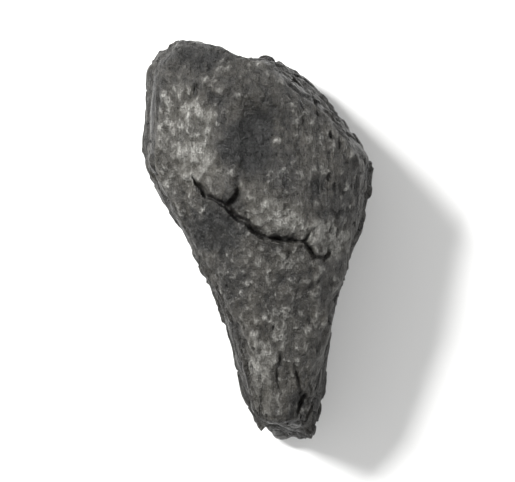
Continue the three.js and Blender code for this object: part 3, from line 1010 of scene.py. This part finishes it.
def charcoal_material():
    """Coats of colour on a dark ground, each as far as its pattern shows, under a satin gloss
    with fine bumps."""
    material, tree = new_material("hardwood_charcoal")
    place = add(tree, "ShaderNodeTexCoord", output="Object")
    mm = add(tree, "ShaderNodeVectorMath", {0: place, "Scale": 1 / MM}, operation="SCALE")
    carved = {}
    for name in ("end_grain", "on_top", "edge", "tone_and_light", "check", "grain", "crumb", "crack"):
        carved[name] = add(tree, "ShaderNodeAttribute", output="Fac", attribute_name=name)

    # Fibres, slow mottling, speckles and dust
    along = add(tree, "ShaderNodeMapping", {"Vector": mm, "Scale": FIBRE_SHAPE})
    fibre = add(tree, "ShaderNodeTexNoise", {"Vector": along, **FIBRES}, output="Fac")
    fine_fibre = add(tree, "ShaderNodeTexNoise", {"Vector": along, **FINE_FIBRES}, output="Fac")
    mottle = add(tree, "ShaderNodeTexNoise", {"Vector": mm, **MOTTLING}, output="Fac")
    drawn_out = add(tree, "ShaderNodeMapping", {"Vector": mm, "Scale": SPECKLE_SHAPE})
    speckle = add(tree, "ShaderNodeTexNoise", {"Vector": drawn_out, **SPECKLES}, output="Fac")
    dust = add(tree, "ShaderNodeTexNoise", {"Vector": mm, **DUST}, output="Fac")

    # The net of hairline checks, and the pores of the end grain, which both get painted shade
    net_place = add(tree, "ShaderNodeMapping", {"Vector": mm, "Scale": NET_SHAPE})
    bend = add(tree, "ShaderNodeTexNoise", {"Vector": mm, **NET_BEND}, output="Color")
    bent = add(tree, "ShaderNodeMix", {0: NET_BEND_SHARE, 4: net_place, 5: bend}, output=1,
               data_type="VECTOR")
    net = add(tree, "ShaderNodeTexVoronoi", {"Vector": bent, **NET_CELLS}, output="Distance",
              feature="DISTANCE_TO_EDGE")
    pore_net = add(tree, "ShaderNodeTexVoronoi", {"Vector": mm, **PORES}, output="Distance")

    # The carved fibres and crumbs, and the patches of own tone and painted light and shade, push
    # the noises up or down
    fibres_drawn = add(tree, "ShaderNodeMath", {
        0: carved["grain"], 1: CARVED_FIBRE_SHARE, 2: fibre}, operation="MULTIPLY_ADD")
    crumbs_drawn = add(tree, "ShaderNodeMath", {
        0: carved["crumb"], 1: CARVED_CRUMB_SHARE, 2: speckle}, operation="MULTIPLY_ADD")
    grains = add(tree, "ShaderNodeMath", {
        0: carved["tone_and_light"], 1: TONE_AND_LIGHT_SHARE, 2: crumbs_drawn}, operation="MULTIPLY_ADD")
    dusty_edge = add(tree, "ShaderNodeMath", {0: carved["edge"], 1: dust}, operation="MULTIPLY")

    patterns = {
        "fibres": fibres_drawn,
        "fine fibres": fine_fibre,
        "mottling": mottle,
        "tone_and_light": carved["tone_and_light"],
        "upper face": carved["on_top"],
        "dust": dust,
        "grains": grains,
        "dusty edges": dusty_edge,
        "net": net,
        "pore net": pore_net,
    }
    shown = {}
    for name, (pattern, low, high, share_low, share_high) in SHOWS.items():
        shown[name] = add(tree, "ShaderNodeMapRange", {
            "Value": patterns[pattern], "From Min": low, "From Max": high,
            "To Min": share_low, "To Max": share_high})

    # Pairs of factors: what shows only where two patterns meet, and how strong a painted shade is
    met = dict(shown)
    for name, first, second in (
        ("powder", shown["powder"], shown["speckles"]),
        ("powder", shown["powder along fibres"], "powder"),
        ("ash and painted glints", shown["ash and painted glints"], "powder"),
        ("painted shade in pits", shown["painted shade in pits"], shown["speckles"]),
        ("broken net", shown["stretches of the net"], shown["net off the upper face"]),
        ("hairlines", shown["hairlines"], "broken net"),
        ("hairline shade", "hairlines", HAIRLINE_SHADE),
        # Painted shade in the cracks
        ("crack shade", carved["crack"], CRACK_SHADE),
        # Painted shade in seams, checks and pits, with the late wood's own dark colour
        ("late wood and painted shade", carved["check"], CHECK_SHADE),
        ("pores", shown["pores"], carved["end_grain"]),
        ("crumbs", dust, shown["crumbs"]),
    ):
        factors = [met[f] if isinstance(f, str) else f for f in (first, second)]
        met[name] = add(tree, "ShaderNodeMath", dict(enumerate(factors)), operation="MULTIPLY")

    # Coats of colour: fibres, worn places, lighter and darker patches that are partly own tone and
    # partly painted light and shade, ash with painted glints, and painted shade in pits, cracks,
    # checks, hairlines and pores, beside the late wood's own dark colour
    body = srgb(CHAR_DARK)
    for name, colour in (
        ("lighter fibres", CHAR_BODY),
        ("worn mottles", CHAR_WORN),
        ("lighter tone and painted light", CHAR_TONE_AND_PAINTED_LIGHT),
        ("ash and painted glints", CHAR_ASH_AND_PAINTED_GLINTS),
        ("painted shade in pits", CHAR_DEEP),
        ("worn edges", CHAR_WORN),
        ("darker tone and painted shade", CHAR_DEEP),
        ("crack shade", CHAR_DEEP),
        ("late wood and painted shade", CHAR_DEEP),
        ("hairline shade", CHAR_DEEP),
        ("pores", CHAR_DEEP),
    ):
        body = add(tree, "ShaderNodeMix", {0: met[name], 6: body, 7: srgb(colour)}, output=2,
                   data_type="RGBA")

    # Glassy where cells broke clean, dull where dust and ash lie
    roughness = add(tree, "ShaderNodeMath", {
        0: met["ash and painted glints"], 1: ASH_DULLNESS, 2: met["shine"]}, operation="MULTIPLY_ADD")

    # Fibres, speckles and crumbs stand out, and hairlines and pores are sunk
    both_fibres = add(tree, "ShaderNodeMath", {0: fine_fibre, 1: fibre}, operation="ADD")
    bumps = {}
    for name, height, sunk in (
        ("fibres", both_fibres, False),
        ("speckles", speckle, False),
        ("crumbs", met["crumbs"], False),
        ("hairlines", met["hairlines"], True),
        ("pores", met["pores"], True),
    ):
        distance, strength = BUMPS[name]
        bumps["Normal"] = add(tree, "ShaderNodeBump", {
            "Height": height, "Strength": strength, "Distance": distance * MM,
            **bumps}, invert=sunk)

    skin = add(tree, "ShaderNodeBsdfPrincipled", {
        "Base Color": body, "Roughness": roughness, "IOR": CHAR_IOR, **bumps})
    add(tree, "ShaderNodeOutputMaterial", {"Surface": skin})
    return material


# A matt white studio board, which gives off no glare
BOARD_WHITE = "#f4f4f3"
BOARD_ROUGHNESS = 0.9


def board_material():
    material, tree = new_material("matt_white_board")
    skin = add(tree, "ShaderNodeBsdfPrincipled", {
        "Base Color": srgb(BOARD_WHITE), "Roughness": BOARD_ROUGHNESS})
    add(tree, "ShaderNodeOutputMaterial", {"Surface": skin})
    return material


# The view: straight down through a long lens, with the head of the lump at the top
PICTURE = (515, 482)
LUMP_SHARE = 0.84
LENS = 300
SENSOR = 36
FLOOR_SIZE = 3000

# The light: even daylight, a soft box from the upper left and a weaker, larger one from the
# right. A soft box has its place and size in millimetres, and its power in watts
DAYLIGHT = 0.5
SOFT_BOXES = {
    "key_soft_box": {"place": (-340, 220, 380), "size": 130, "power": 6},
    "fill_soft_box": {"place": (420, -120, 360), "size": 300, "power": 0.8},
}


def add_camera():
    """Stands so far above the lump that its length takes the wanted share of the picture."""
    low, high = np.array(CAD_LOW), np.array(CAD_HIGH)
    picture_height = (high[1] - low[1]) / LUMP_SHARE
    picture_width = picture_height * PICTURE[0] / PICTURE[1]
    data = bpy.data.cameras.new("camera")
    data.lens = LENS
    data.sensor_width = SENSOR
    camera = bpy.data.objects.new("camera", data)
    middle = (low + high) / 2
    camera.location = (middle[0], middle[1], middle[2] + picture_width * LENS / SENSOR)
    bpy.context.scene.collection.objects.link(camera)
    bpy.context.scene.camera = camera


def add_floor():
    half = FLOOR_SIZE * MM / 2
    mesh = bpy.data.meshes.new("floor")
    corners = [(-half, -half, 0), (half, -half, 0), (half, half, 0), (-half, half, 0)]
    mesh.from_pydata(corners, [], [(0, 1, 2, 3)])
    floor = bpy.data.objects.new("floor", mesh)
    floor.data.materials.append(board_material())
    bpy.context.scene.collection.objects.link(floor)
    return floor


def add_soft_box(name, place, size, power):
    """A square soft box at a place in millimetres, turned to face the lump."""
    data = bpy.data.lights.new(name, "AREA")
    data.shape = "SQUARE"
    data.size = size * MM
    data.energy = power
    light = bpy.data.objects.new(name, data)
    light.location = [value * MM for value in place]
    x, y, z = place
    light.rotation_euler = (math.atan2(math.hypot(x, y), z), 0, math.atan2(x, -y))
    bpy.context.scene.collection.objects.link(light)


def add_daylight(strength):
    world = bpy.data.worlds.new("studio")
    world.use_nodes = True
    sky = world.node_tree.nodes["Background"]
    sky.inputs["Color"].default_value = (1, 1, 1, 1)
    sky.inputs["Strength"].default_value = strength
    bpy.context.scene.world = world


add_camera()
bpy.context.scene.view_settings.view_transform = "Standard"
add_daylight(DAYLIGHT)
for box_name, box in SOFT_BOXES.items():
    add_soft_box(box_name, **box)

lump = make_lump()
lump.data.materials.append(charcoal_material())
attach(lump, "root")
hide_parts("charcoal_lump")
add_floor()
